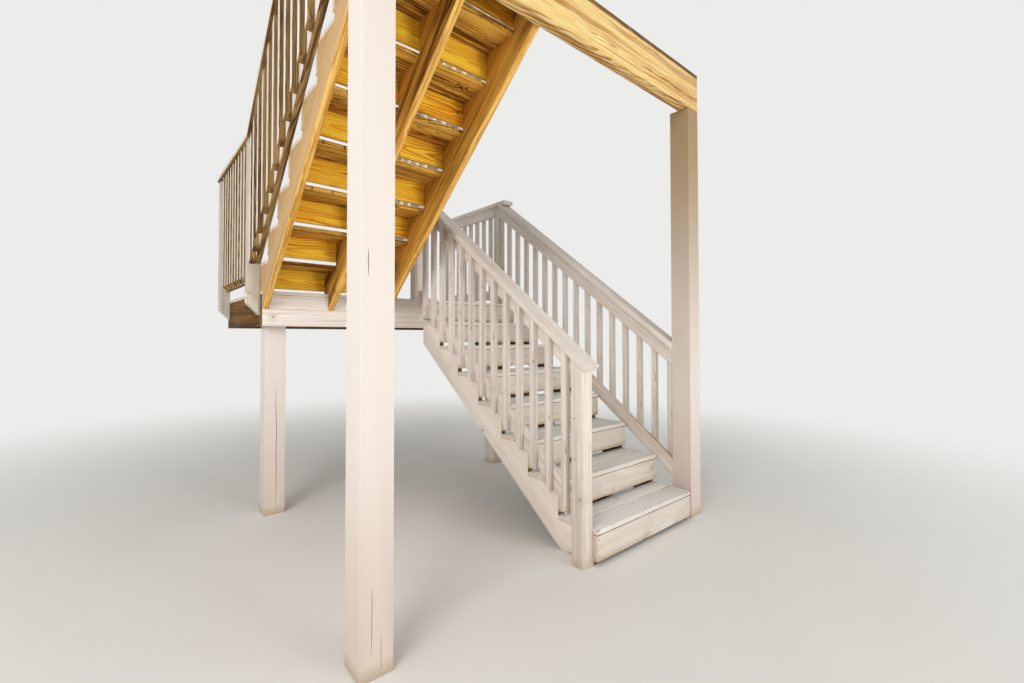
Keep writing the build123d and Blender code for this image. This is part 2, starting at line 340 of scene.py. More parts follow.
sky = Shop(bpy.data.worlds.new("sky"))
bpy.context.scene.world = sky.owner
daylight = sky.tree.nodes["Background"]
daylight.inputs["Color"].default_value = SKY_COLOUR
daylight.inputs["Strength"].default_value = SKY_STRENGTH
light = Wire(sky, daylight.outputs[0])
backdrop = sky.node("ShaderNodeBackground", None, {"Color": PALE})
eye = sky.node("ShaderNodeLightPath", out="Is Camera Ray")
seen = eye.high(eye.beside("Is Glossy Ray").high(eye.beside("Is Transmission Ray")))
choice = sky.node("ShaderNodeMixShader", None, {0: seen, 1: light, 2: backdrop})
sky.put(sky.tree.nodes["World Output"].inputs["Surface"], choice)
print("sky strength", SKY_STRENGTH)

# %% [markdown]
# ## Which way the grain runs
#
# Grain runs along a board wherever the board points. Level boards and posts point along one of
# the axes. Stringers, rails and caps climb with their flight, one rise for each going, and the
# upper flight climbs the other way. Each direction comes with the two at right angles to it.

# %% Directions of the grain
RISE = 190.5
LOWER_GOING = 250.0
UPPER_GOING = 228.0
X = Vector((1, 0, 0))
Y = Vector((0, 1, 0))
Z = Vector((0, 0, 1))


def raked(going):
    angle = math.atan2(RISE, going)
    along = Vector((0, math.cos(angle), math.sin(angle)))
    across = Vector((0, -math.sin(angle), math.cos(angle)))
    return along, across, X


GRAIN = {"x": (X, Y, Z), "y": (Y, X, Z), "z": (Z, X, Y),
         "lower": raked(LOWER_GOING), "upper": raked(-UPPER_GOING)}
print("grain directions", sorted(GRAIN))

# %% [markdown]
# ## Telling the boards apart
#
# A node may hold many boards, and each needs a grain of its own. Boards that only touch share no
# corner in the mesh, so its connected parts are the boards. In the packed model, though, the flat
# faces of a board hang together only by their places, so their corners have to be merged first.

# %% The boards of a mesh
def only(piece):
    # Selects one object and makes it the active one.
    bpy.ops.object.select_all(action="DESELECT")
    piece.select_set(True)
    bpy.context.view_layer.objects.active = piece


def boards_of(mesh):
    # The connected parts of a mesh, as lists of vertex numbers.
    parent = list(range(len(mesh.vertices)))

    def root(v):
        while parent[v] != v:
            parent[v] = parent[parent[v]]
            v = parent[v]
        return v

    for edge in mesh.edges:
        parent[root(edge.vertices[0])] = root(edge.vertices[1])
    groups = {}
    for v in range(len(parent)):
        groups.setdefault(root(v), []).append(v)
    return list(groups.values())


print("the beam comes in", len(boards_of(frame["nodes"]["header_beam"].data)), "loose parts")

# %% [markdown]
# ## What each board knows
#
# Paint and wood have to know where a point lies along, across and through its board, how large
# the board is, a few random numbers of its own, and whether a face was painted. Attributes hold
# that. They do it better than a pattern thrown on from outside, because raked boards and posts
# need no special case.

# %% Give each board its place, size and luck
MARKS = ("local", "half", "luck")


def give_grain(piece, axis, seed, painted):
    # Across is the broader of the two ways at right angles to the grain.
    mesh = piece.data
    for name in MARKS:
        mesh.attributes.new(name, "FLOAT_VECTOR", "POINT")
    mesh.attributes.new("paint", "FLOAT", "FACE")
    local, half, luck = (mesh.attributes[name].data for name in MARKS)
    paint = mesh.attributes["paint"].data
    chance = random.Random(seed)
    boards = boards_of(mesh)
    for board in boards:
        spots = [mesh.vertices[v].co for v in board]
        along, across, through = ([p.dot(d) for p in spots] for d in GRAIN[axis])
        if max(across) - min(across) < max(through) - min(through):
            across, through = through, across
        rows = (along, across, through)
        middle = [(max(r) + min(r)) / 2 for r in rows]
        size = [(max(r) - min(r)) / 2 for r in rows]
        draw = (chance.random(), chance.random(), chance.random())
        for k, v in enumerate(board):
            local[v].vector = [rows[n][k] - middle[n] for n in range(3)]
            half[v].vector = size
            luck[v].vector = draw
    for face in mesh.polygons:
        paint[face.index].value = float(painted(face.normal))
    return len(boards)


print("each point gets", MARKS)

# %% [markdown]
# ## How a board is dressed
#
# A sawn board has slightly rounded arrises. The CAD solid is copied, its loose triangles are
# merged and its flat faces joined, and a small bevel is put on the arrises. The copy then gets
# its attributes, rides with the stairs and replaces the plain solid. Two segments are enough for
# a bevel of two millimetres, and shading by angle keeps the broad faces flat.

# %% Dress one node
WELD = 0.00002
FLAT = math.radians(1)
SHARP = math.radians(40)
SMOOTH = math.radians(35)
ARRIS = 0.002
FINE_ARRIS = 0.0015
pieces = {}


def dress(node, axis, painted, arris=ARRIS):
    # Keeps the dressed copy in pieces and returns how many boards it has.
    only(frame["nodes"][node])
    bpy.ops.object.duplicate()
    piece = bpy.context.object
    piece.name = node + "_timber"
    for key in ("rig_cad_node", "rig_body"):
        if key in piece:
            del piece[key]
    piece.data.materials.clear()
    bpy.ops.object.mode_set(mode="EDIT")
    bpy.ops.mesh.select_all(action="SELECT")
    bpy.ops.mesh.remove_doubles(threshold=WELD)
    bpy.ops.mesh.dissolve_limited(angle_limit=FLAT)
    bpy.ops.object.mode_set(mode="OBJECT")
    edge = piece.modifiers.new("arris", "BEVEL")
    edge.width = arris
    edge.segments = 2
    edge.limit_method = "ANGLE"
    edge.angle_limit = SHARP
    bpy.ops.object.modifier_apply(modifier=edge.name)
    bpy.ops.object.shade_smooth_by_angle(angle=SMOOTH)
    count = give_grain(piece, axis, node, painted)
    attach(piece, "root")
    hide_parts(node)
    pieces[node] = piece
    return count


print("arrises", ARRIS * 1000, "mm, fine ones", FINE_ARRIS * 1000, "mm")

# %% [markdown]
# ## Which faces were painted
#
# The paint went on from above and from outside: tops, fronts and outer sides are painted, while
# what faces the ground, the backs of the risers and the insides of the stringers stayed raw. That
# bare timber is what gives the underside of the upper flight its glow. A rule looks at a face's
# normal, and a sign in it is the way along its axis that a front or an outer side looks.

# %% Paint rules
PARTLY = 0.3
MOSTLY = 0.5
NEARLY_ALL = 0.8


def everywhere(normal):
    return True


def nowhere(normal):
    return False


def tops(normal):
    return normal.z > PARTLY


def ends(normal):
    return abs(normal.x) > NEARLY_ALL


def front(sign):
    return lambda normal: normal.y * sign > PARTLY


def outer_side(sign):
    return lambda normal: normal.x * sign > MOSTLY


def all_but_bottom(normal):
    return normal.z > -PARTLY


def not_below(normal):
    return normal.z >= -MOSTLY


def outside_and_top(normal):
    # The left guards were only painted from outside and above.
    return (normal.x < -MOSTLY or normal.z > MOSTLY) and all_but_bottom(normal)


def either(*rules):
    return lambda normal: any(rule(normal) for rule in rules)


print("a tread's end is painted:", either(tops, ends)(X), "and its underside:", tops(-Z))

# %% [markdown]
# ## Steps
#
# Each flight has seven treads, eight risers on one node and three stringers. The lower flight's
# fronts look towards the eye, the upper flight's away from it.

# %% Dress the steps
FLIGHTS = (("lower", -1), ("upper", 1))
TREADS = range(1, 8)
STRINGERS = (("left", outer_side(-1)), ("middle", nowhere), ("right", outer_side(1)))

boards = 0
for number in TREADS:
    for flight, sign in FLIGHTS:
        rule = either(tops, front(sign), ends)
        boards += dress(f"{flight}_tread_{number}", "x", rule, FINE_ARRIS)
for flight, sign in FLIGHTS:
    boards += dress(flight + "_risers", "x", either(front(sign), ends))
    for side, rule in STRINGERS:
        boards += dress(f"{flight}_stringer_{side}", flight, rule)
print("steps dressed,", boards, "boards")

# %% [markdown]
# ## Posts, beams, landing and guards
#
# The same dressing does for the frame and the guards. Newels are machined with a larger arris, so
# theirs is four millimetres, and the beam's is three.

# %% Dress the frame and the guards
BEAM_ARRIS = 0.003
NEWEL_ARRIS = 0.004
PLAN = (
    ("landing_front_rim", "x", front(-1), ARRIS),
    ("landing_ledger", "x", nowhere, ARRIS),
    ("landing_joists", "y", nowhere, ARRIS),
    ("landing_side_rims", "y", outer_side(1), ARRIS),
    ("landing_posts", "z", everywhere, ARRIS),
    ("landing_decking", "x", all_but_bottom, ARRIS),
    ("deck_posts", "z", everywhere, ARRIS),
    ("header_beam", "x", nowhere, BEAM_ARRIS),
    ("header_decking", "x", tops, FINE_ARRIS),
    ("lower_newel", "z", everywhere, NEWEL_ARRIS),
    ("centre_newels", "z", everywhere, NEWEL_ARRIS),
    ("top_newels", "z", everywhere, NEWEL_ARRIS),
    ("landing_newels", "z", everywhere, NEWEL_ARRIS),
    ("lower_left_rails", "lower", everywhere, FINE_ARRIS),
    ("lower_right_rails", "lower", everywhere, FINE_ARRIS),
    ("upper_left_rails", "upper", outside_and_top, FINE_ARRIS),
    ("upper_right_rails", "upper", everywhere, FINE_ARRIS),
    ("landing_left_rails", "y", outside_and_top, FINE_ARRIS),
    ("landing_right_rails", "y", everywhere, FINE_ARRIS),
    ("lower_left_balusters", "z", not_below, ARRIS),
    ("lower_right_balusters", "z", not_below, ARRIS),
    ("upper_left_balusters", "z", outside_and_top, ARRIS),
    ("upper_right_balusters", "z", not_below, ARRIS),
    ("landing_left_balusters", "z", outside_and_top, ARRIS),
    ("landing_right_balusters", "z", not_below, ARRIS),
)
for row in PLAN:
    boards += dress(*row)
print("pieces", len(pieces), "boards", boards)

# %% [markdown]
# ## A screw head
#
# Boards are held by screws, two to a bearing, and their heads show as small dark dots in rows
# over the stringers and joists. One head is modelled: a short cylinder whose top face is inset
# twice and pushed in, which leaves a rim round the recess for the driver. It has few faces,
# because there are hundreds of them.

# %% Model one screw head
SCREW_RADIUS = 0.0045
SCREW_HEIGHT = 0.0012
RIM_SHARE = 0.25
SLOPE_SHARE = 0.35
RECESS_SHARE = 0.7


def named(name):
    # Names the object that an operator has just made.
    piece = bpy.context.object
    piece.name = name
    piece.data.name = name
    return piece


def faces_where(piece, test):
    # Selects faces by their centre and normal, and stays in edit mode.
    bpy.ops.object.mode_set(mode="EDIT")
    bpy.ops.mesh.select_mode(type="FACE")
    bpy.ops.mesh.select_all(action="DESELECT")
    bpy.ops.object.mode_set(mode="OBJECT")
    for face in piece.data.polygons:
        face.select = test(face.center, face.normal)
    bpy.ops.object.mode_set(mode="EDIT")


bpy.ops.object.select_all(action="DESELECT")
bpy.ops.mesh.primitive_cylinder_add(vertices=12, radius=SCREW_RADIUS, depth=SCREW_HEIGHT)
head = named("screw_head")
faces_where(head, lambda centre, normal: normal.z > MOSTLY)
bpy.ops.mesh.inset(thickness=SCREW_RADIUS * RIM_SHARE)
bpy.ops.mesh.inset(thickness=SCREW_RADIUS * SLOPE_SHARE)
bpy.ops.transform.translate(value=(0, 0, -SCREW_HEIGHT * RECESS_SHARE))
bpy.ops.object.mode_set(mode="OBJECT")
print("screw head", len(head.data.polygons), "faces")

# %% [markdown]
# ## From one to many
#
# What repeats is modelled once and copied, each copy with a mesh of its own. Its place comes from
# the boxes of the boards, and the direction that it looks in turns it. The copies of one kind are
# then joined into a single piece.

# %% Boxes of boards, and copies of a small part
def solids(node):
    # The lowest and highest corner of each board of a dressed node.
    mesh = pieces[node].data
    boxes = []
    for board in boards_of(mesh):
        spots = [mesh.vertices[v].co for v in board]
        low = Vector([min(p[n] for p in spots) for n in range(3)])
        high = Vector([max(p[n] for p in spots) for n in range(3)])
        boxes.append((low, high))
    return boxes


def scatter(master, places, name):
    # Each place is a point and the direction that the copy looks in.
    bpy.ops.object.select_all(action="DESELECT")
    first = None
    for spot, way in places:
        copy = bpy.data.objects.new(name, master.data.copy())
        bpy.context.scene.collection.objects.link(copy)
        copy.location = spot
        copy.rotation_euler = Vector(way).to_track_quat("Z", "Y").to_euler()
        copy.select_set(True)
        first = first or copy
    bpy.context.view_layer.objects.active = first
    bpy.ops.object.transform_apply(location=True, rotation=True, scale=True)
    bpy.ops.object.join()
    first.name = name
    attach(first, "root")
    return first


low, high = min(solids("deck_posts"), key=lambda box: box[0].x)
print("the near post is", [round(v, 3) for v in high - low], "m")

# %% [markdown]
# ## One more baluster at the turn
#
# A last raked baluster stands right in front of the newel where the left guard turns level. It has
# the shape of its neighbours, so the lowest of them is copied inside its own piece and moved down
# the rake until it nearly touches the newel. The copy keeps the grain of the one that it was
# copied from, which is hard to see once the two stand apart.

# %% Copy the lowest raked baluster to the newel
PLAY = 0.001
SAME_SIDE = 0.05

balusters = pieces["upper_left_balusters"]
lowest, highest = min(solids("upper_left_balusters"), key=lambda box: box[0].z)
newel_face = min(low.y for low, high in solids("landing_newels") if low.x < lowest.x + SAME_SIDE)
gap = newel_face - PLAY - highest.y
only(balusters)
faces_where(balusters, lambda centre, normal: lowest.y - PLAY < centre.y < highest.y + PLAY)
bpy.ops.mesh.duplicate()
bpy.ops.transform.translate(value=(0, gap, -gap * RISE / UPPER_GOING))
bpy.ops.object.mode_set(mode="OBJECT")
print("baluster moved by", round(gap, 4), "m to", round(newel_face, 4))

# %% [markdown]
# ## Screws in the steps
#
# The places come from the boards themselves. A tread is screwed over the middle of each of its
# three stringers, near the front and back edge of each board, and a riser near its top and bottom.

# %% Rows of screws in the steps
UP = (0, 0, 1)
EDGE_IN = 0.026
metal = []


def middles(nodes):
    # The X of the middle of each solid of some nodes.
    return sorted({round((low.x + high.x) / 2, 4) for node in nodes for low, high in solids(node)})


def pair(low, high):
    return low + EDGE_IN, high - EDGE_IN


for flight, sign in FLIGHTS:
    lines = middles([f"{flight}_stringer_{side}" for side, rule in STRINGERS])
    places = []
    for number in TREADS:
        for low, high in solids(f"{flight}_tread_{number}"):
            places += [((x, y, high.z), UP) for x in lines for y in pair(low.y, high.y)]
    for low, high in solids(flight + "_risers"):
        face = low.y if sign < 0 else high.y
        places += [((x, face, z), (0, sign, 0)) for x in lines for z in pair(low.z, high.z)]
    metal.append(scatter(head, places, flight + "_step_screws"))
    print(flight, "flight", len(places), "screws")

# %% [markdown]
# ## Screws in the landing and the guards
#
# The landing's boards are screwed over its joists and rims. A board that is too narrow for two
# screws gets none. Each baluster has a pair of screws at its lower rail and a pair at its upper
# one, driven from outside.

# %% Rows of screws in the landing and the guards
GUARDS = (("lower_left", -1), ("lower_right", 1), ("upper_left", -1), ("upper_right", 1),
          ("landing_left", -1), ("landing_right", 1))
ABOVE_FOOT = (0.050, 0.078)
BELOW_HEAD = (0.045, 0.085)

bearings = middles(["landing_joists", "landing_side_rims"])
places = []
for low, high in solids("landing_decking"):
    if high.y - low.y > 2 * EDGE_IN:
        lines = [x for x in bearings if low.x < x < high.x]
        places += [((x, y, high.z), UP) for x in lines for y in pair(low.y, high.y)]
metal.append(scatter(head, places, "landing_screws"))
print("landing", len(places), "screws")

places = []
for guard, out in GUARDS:
    for low, high in solids(guard + "_balusters"):
        face = low.x if out < 0 else high.x
        middle = (low.y + high.y) / 2
        heights = [low.z + up for up in ABOVE_FOOT] + [high.z - down for down in BELOW_HEAD]
        places += [((face, middle, z), (out, 0, 0)) for z in heights]
metal.append(scatter(head, places, "baluster_screws"))
print("balusters", len(places), "screws")

# %% [markdown]
# ## A coach bolt
#
# Newels that hang on a stringer or a rim are bolted through it. A coach bolt shows a shallow dome
# on a round washer. The dome is drawn out of the washer's top face, which is then inset and lifted
# three times, less each time, so that it curves.

# %% Model one coach bolt
WASHER_RADIUS = 0.015
WASHER_HEIGHT = 0.002
DOME_RADIUS = 0.010
DOME_WALL = 0.0016
DOME_STEPS = ((0.0022, 0.0016), (0.0030, 0.0010), (0.0030, 0.0004))

bpy.ops.object.select_all(action="DESELECT")
bpy.ops.mesh.primitive_cylinder_add(vertices=20, radius=WASHER_RADIUS, depth=WASHER_HEIGHT,
                                    location=(0, 0, WASHER_HEIGHT / 2))
bolt = named("coach_bolt")
faces_where(bolt, lambda centre, normal: normal.z > MOSTLY)
bpy.ops.mesh.inset(thickness=WASHER_RADIUS - DOME_RADIUS)
bpy.ops.mesh.extrude_region_move(TRANSFORM_OT_translate={"value": (0, 0, DOME_WALL)})
for inwards, upwards in DOME_STEPS:
    bpy.ops.mesh.inset(thickness=inwards)
    bpy.ops.transform.translate(value=(0, 0, upwards))
bpy.ops.object.mode_set(mode="OBJECT")
print("coach bolt", len(bolt.data.polygons), "faces")

# %% [markdown]
# ## Bolts and screws in the newels
#
# The newels at the sides of the landing and at the top of the upper flight have two bolts each,
# one above the other and a little aside, in the flank that looks away from the middle of the
# stairs. The newel at the foot of the lower flight stands on the floor and has two screws instead.

# %% Place the bolts and screws of the newels
BOLTS_UP = {"landing_newels": (0.092, 0.128), "top_newels": (0.035, 0.075)}
BOLTS_IN = (0.052, 0.028)
SCREWS_UP = (0.565, 0.780)
SCREWS_IN = 0.024

places = []
for node, heights in BOLTS_UP.items():
    newels = solids(node)
    centre = sum(low.x + high.x for low, high in newels) / (2 * len(newels))
    for low, high in newels:
        out = -1 if low.x < centre else 1
        face = low.x if out < 0 else high.x
        for inwards, up in zip(BOLTS_IN, heights):
            places.append(((face, low.y + inwards, low.z + up), (out, 0, 0)))
metal.append(scatter(bolt, places, "coach_bolts"))
low, high = solids("lower_newel")[0]
marks = [((low.x, high.y - SCREWS_IN, z), (-1, 0, 0)) for z in SCREWS_UP]
metal.append(scatter(head, marks, "newel_screws"))
for master in (head, bolt):
    bpy.data.objects.remove(master)
print("newels", len(places), "bolts and", len(marks), "screws")

# %% [markdown]
# ## A blade for checks
#
# A square post holds the heart of the tree, so as it dries it splits along the grain. These checks
# are real grooves here, cut by a thin blade. It is made from a cube, cut across into many short
# lengths, tapered towards both ends and pushed sideways a little at each cut.

# %% A wavering blade
CUTS = 14
BLUNT = 0.12
SAME_LEVEL = 0.0005


def blade(x, y, bottom, top, width, depth, sway, seed):
    bpy.ops.object.select_all(action="DESELECT")
    bpy.ops.mesh.primitive_cube_add(size=1, location=(x, y, (bottom + top) / 2),
                                    scale=(width, 2 * depth, top - bottom))
    piece = named("check_blade")
    bpy.ops.object.transform_apply(location=True, rotation=True, scale=True)
    levels = [bottom + (top - bottom) * n / CUTS for n in range(CUTS + 1)]
    bpy.ops.object.mode_set(mode="EDIT")
    for level in levels[1:-1]:
        bpy.ops.mesh.select_all(action="SELECT")
        bpy.ops.mesh.bisect(plane_co=(x, y, level), plane_no=(0, 0, 1))
    bpy.ops.object.mode_set(mode="OBJECT")
    chance = random.Random(seed)
    shift = 0.0
    for n, level in enumerate(levels):
        bpy.ops.object.mode_set(mode="EDIT")
        bpy.ops.mesh.select_mode(type="VERT")
        bpy.ops.mesh.select_all(action="DESELECT")
        bpy.ops.object.mode_set(mode="OBJECT")
        for vertex in piece.data.vertices:
            vertex.select = abs(vertex.co.z - level) < SAME_LEVEL
        bpy.ops.object.mode_set(mode="EDIT")
        shift += (chance.random() - 0.5) * sway
        bpy.ops.transform.translate(value=(shift, 0, 0))
        taper = max(BLUNT, math.sin(math.pi * n / CUTS) ** 0.5)
        bpy.ops.transform.resize(value=(taper, 1, 1), center_override=(x + shift, y, level))
        bpy.ops.object.mode_set(mode="OBJECT")
    return piece


print("a blade has", CUTS, "lengths")

# %% [markdown]
# ## Checks in the posts
#
# A boolean takes each blade out of its post. The walls of a groove keep the attributes of the
# wood near them, so they look like the post's own wood. A row holds the node, how far the check
# lies from the middle of its leftmost post, its bottom and top, its width and depth, how far it
# may sway at each cut, and the seed of its chance.

# %% Cut the checks
CHECKS = (
    ("deck_posts", -0.037, 1.436, 1.536, 0.0035, 0.016, 0.002, 3),
    ("deck_posts", -0.022, 0.085, 0.330, 0.0026, 0.014, 0.002, 5),
    ("deck_posts", 0.018, 0.020, 0.150, 0.0022, 0.010, 0.002, 8),
    ("landing_posts", 0.006, 0.015, 0.880, 0.0040, 0.018, 0.009, 11),
)
leftmost = {row[0]: min(solids(row[0]), key=lambda box: box[0].x) for row in CHECKS}
for node, aside, *shape in CHECKS:
    low, high = leftmost[node]
    cutter = blade((low.x + high.x) / 2 + aside, low.y, *shape)
    only(pieces[node])
    cut = pieces[node].modifiers.new("check", "BOOLEAN")
    cut.operation = "DIFFERENCE"
    cut.solver = "EXACT"
    cut.object = cutter
    bpy.ops.object.modifier_apply(modifier=cut.name)
    bpy.data.objects.remove(cutter)
print("checks cut, deck posts", len(pieces["deck_posts"].data.polygons), "faces")

# %% [markdown]
# ## Bare timber
#
# Sawn pine shows the growth rings of the tree where the saw met them. The rings are cylinders
# round a pith that lies somewhere behind the board, a little bent and tapered, so that a broad
# face shows wide arches in its middle and fine lines at its sides. Knots push the rings aside.
# Rings and knots are worked out in metres from a point's place in its board, so a beam, a tread
# and a baluster all get rings of the same, true size.
#
# In the recipe, u, v and w are a point's place along, across and through its board, and a, b and
# c are the board's luck, which moves every pattern to another place. A large factor on v and w
# and a small one on u draw a pattern out along the grain.

# %% Rings, knots, fibres and blotches
RING = 0.009
KNOT = 0.011
KNOT_CELLS = 3.1
PITH_BEHIND = 0.018
STAIN_REACH = 0.020


class Board:
    # The patterns of one board: numbers from 0 to 1 that the colours are mixed by.
    def __init__(self, shop, ring=RING, blotchy=0.5, stained=0.0, streaky=1.0):
        self.shop = shop
        self.blotchy = blotchy
        self.streaky = streaky
        self.u, self.v, self.w = shop.own("local")
        self.a, self.b, self.c = shop.own("luck")
        self.half = shop.own("half")
        self.sway()
        self.find_knots()
        self.grow_rings(ring)
        self.draw_fibres()
        self.stain = self.joint_stain() * stained

    def pattern(self, x, y, z, detail=3.0, rough=0.6):
        return self.shop.noise(self.shop.point(x, y, z), 1.0, detail, rough)

    def sway(self):
        # No board is quite straight-grained: a slow bend and a quicker wobble run through it.
        u, v, w = self.u, self.v, self.w
        self.bend = self.pattern(u * 1.3 + self.a * 31, v * 3 + self.b * 17, w * 3, 2.0, 0.5)
        self.wobble = self.pattern(u * 7 + self.a * 11, v * 22 + self.c * 17, w * 22, 2.0, 0.5)

    def find_knots(self):
        # At most one in a cell, in two cells of five, of several sizes.
        cells = self.shop.point(self.u * KNOT_CELLS + self.a * 23,
                                self.v * KNOT_CELLS + self.b * 11 + self.c * 5, 0.0)
        settings = {"feature": "F1", "voronoi_dimensions": "2D"}
        found = self.shop.node("ShaderNodeTexVoronoi", settings, {"Vector": cells, "Scale": 1.0})
        tint = self.shop.parts(found.beside("Color"))
        size = (tint[0] - 0.6).high(0.0) * 2.5
        away = found / KNOT_CELLS
        self.knot = away.ramp(KNOT, KNOT * 0.55) * size.ramp(0.02, 0.2)
        self.halo = away.ramp(KNOT * 5, KNOT * 0.5) * size.ramp(0.02, 0.5)

    def grow_rings(self, ring):
        # How far a point lies from the pith says which ring it is in, and how far through it.
        pith_v = self.v + (self.b - 0.5) * 0.09 + (self.bend - 0.5) * 0.05
        pith_w = self.w + PITH_BEHIND + self.c * 0.05
        radius = (pith_v * pith_v + pith_w * pith_w) ** 0.5 + self.halo * 0.016
        radius = radius + self.u * (self.a - 0.5) * 0.16 + (self.wobble - 0.5) * 0.008
        wave = (radius / ring).fraction()
        self.late = wave.ramp(0.25, 0.90) * wave.ramp(1.0, 0.94)

    def draw_fibres(self):
        # From fine to coarse; streaks and threads bend round the knots.
        u, v, w = self.u, self.v, self.w
        a, b, c = self.a, self.b, self.c
        wavy = v + (self.bend - 0.5) * 0.07 + (self.wobble - 0.5) * 0.016 + self.halo * 0.02
        self.fibre = self.pattern(u * 5 + a * 13, v * 260, w * 260)
        self.thread = self.pattern(u * 1.8 + b * 23, wavy * 105 + a * 5, w * 105, 2.0)
        self.streak = self.pattern(u * 0.8 + c * 19, wavy * 34 + b * 7, w * 34)
        self.blotch = self.pattern(u * 1.6 + a * 57, v * 11 + b * 29, w * 11)

    def joint_stain(self):
        # Where boards lie edge to edge, water has left ragged dark spots beside the joint.
        rim = (self.half[1] - abs(self.v)).ramp(STAIN_REACH, STAIN_REACH * 0.2)
        ragged = self.pattern(self.u * 46 + self.b * 31, self.v * 90, 0.0, 3.0, 0.65)
        return rim * ragged.ramp(0.58, 0.66)

    def colour(self, pale, middle, dark):
        # Pale early wood, darker late wood, brown blotches and streaks, and almost black knots.
        shop = self.shop
        warm = self.late * 0.55 + self.thread.ramp(0.44, 0.60) * 0.4 + (self.a - 0.5) * 0.7
        wood = shop.mix((warm + self.fibre * 0.3 - 0.1).high(0.0).low(1.0), pale, middle)
        deep = self.streak.ramp(0.47, 0.61) * 0.6 + self.thread.ramp(0.50, 0.62) * 0.3
        deep = deep * self.streaky + self.blotch.ramp(0.50, 0.70) * self.blotchy
        deep = deep * (0.45 + self.b * 0.7) + self.late * self.blotch.ramp(0.40, 0.60) * 0.5
        deep = deep + self.late.ramp(0.5, 1.0) * 0.25
        wood = shop.mix((deep + self.stain * 0.8).low(1.0), wood, dark)
        wood = shop.mix(self.halo * 0.5, wood, dark)
        return shop.mix(self.knot * 0.9, wood, srgb(58, 30, 12))

    def relief(self):
        return self.late * 0.5 + self.fibre * 0.35 - self.knot * 0.5


print("rings", round(RING * 1000, 1), "mm wide, knots", round(KNOT * 2000, 1), "mm")

# %% [markdown]
# ## A finish of bare timber
#
# Raw pine is dull: its gloss varies only with the fibres, and its relief is under a millimetre.

# %% Bare timber
def bare_timber(name, pale, middle, dark, **grain):
    shop = Shop(bpy.data.materials.new(name))
    board = Board(shop, **grain)
    shop.feed("Base Color", board.colour(pale, middle, dark))
    shop.feed("Roughness", 0.62 + board.fibre * 0.2)
    shop.feed("Specular IOR Level", 0.2)
    shop.feed("Normal", shop.bump(board.relief(), 0.45, 0.0012))
    return shop.owner


YELLOW = (srgb(255, 238, 184), srgb(242, 200, 122), srgb(164, 106, 40))
raw_pine = bare_timber("raw_pine", *YELLOW, ring=0.013, blotchy=0.15, streaky=0.6)
print("raw pine has", len(raw_pine.node_tree.nodes), "nodes")

# %% [markdown]
# ## Patterns of paint
#
# Paint has patterns of its own: fine lines where it sank into the wood, clouds where it went on
# thicker, and chips. Chips are drawn out along the grain too, and how far is chosen for each kind
# of board. They are few on a broad face and many near a long arris, so the distance from there is
# worked out as well.

# %% Lines, clouds, chips and arrises
class PaintedBoard(Board):
    def __init__(self, shop, length, **grain):
        super().__init__(shop, **grain)
        u, v, w = self.u, self.v, self.w
        self.lines = self.pattern(u * 0.8 + self.c * 19, v * 60, w * 60, 4.0)
        self.cloud = self.pattern(u * 2 + self.b * 41, v * 5, w * 5 + self.a * 9, 4.0)
        self.chips = self.pattern(u * length + self.a * 9, v * 50, w * 50, 4.0, 0.7)
        self.gap = [half - abs(part) for half, part in zip(self.half, (u, v, w))]
        self.near = self.gap[1].high(self.gap[2])
        self.here = shop.parts(shop.place())


print("lines, clouds and chips are ready")

# %% [markdown]
# ## The film of paint
#
# The paint is thin, so the rings and fibres still show in it as faint streaks. Clouds make it a
# little darker or chalky, every board differs, and knots shine through as brown patches. A tread
# is bleached only on its top, and its edges keep the tone of the risers.

# %% Colour of the film
CHALK = srgb(236, 236, 234)
KNOT_STAIN = srgb(150, 120, 88)


def film_colour(board, coat, shade, streaks, edges, chalk):
    shop = board.shop
    fine = board.thread.ramp(0.42, 0.66) * 0.45
    shown = (board.late * 0.25 + board.lines.ramp(0.42, 0.72) * 0.6 + fine).low(1.0) * streaks
    film = shop.mix(shown, coat, shade)
    if edges:
        film = shop.mix((board.half[2] - board.w).ramp(0.0005, 0.003) * edges, film, shade)
    film = shop.mix(board.cloud.ramp(0.48, 0.75) * 0.35, film, shade)
    film = shop.mix((board.b - 0.35).high(0.0) * 0.22, film, shade)
    film = shop.mix(board.cloud.ramp(0.46, 0.26) * chalk, film, CHALK)
    return shop.mix(board.knot * 0.5 + board.halo * 0.2, film, KNOT_STAIN)


print("chalk", [round(v, 3) for v in CHALK[:3]], "knots", [round(v, 3) for v in KNOT_STAIN[:3]])

# %% [markdown]
# ## Dirt, age, wear and painted shade
#
# Dirt yellows a riser's lower edge, and the thin dark line along its upper edge is a dark joint
# and painted shadow under the tread's nosing. End grain drinks the paint, so it and the arris round
# it turn a little golden. Posts grow darker towards the ground and are splashed just above it,
# where the paint flakes in larger pieces. Under the beam the paint is yellower, partly with age
# and partly as painted warm bounce light, and the right post's left face is darkened to tan as
# painted shade. Elsewhere it wears off in chips on the long arrises, where hands, shoes and rain
# reach it. The distances are metres from an edge or from the floor.

# %% Dirt, age, wear and painted shade
DIRT = srgb(170, 146, 104)
# The dark joint and painted shadow under a tread's nosing.
JOINT_AND_NOSING_SHADOW = srgb(96, 66, 38)
END_GRAIN = srgb(198, 160, 98)
SPLASH = srgb(170, 150, 116)
# The next two colours are painted light: warm bounce under the beam, partly yellowed paint, and shade
# on the right post's left face.
BEAM_BOUNCE_YELLOW = srgb(206, 170, 116)
FLANK_SHADE_TAN = srgb(152, 120, 70)
JOINT_REACH = 0.035
EDGE_REACH = 0.005
ARRIS_REACH = 0.008
END_REACH = 0.05


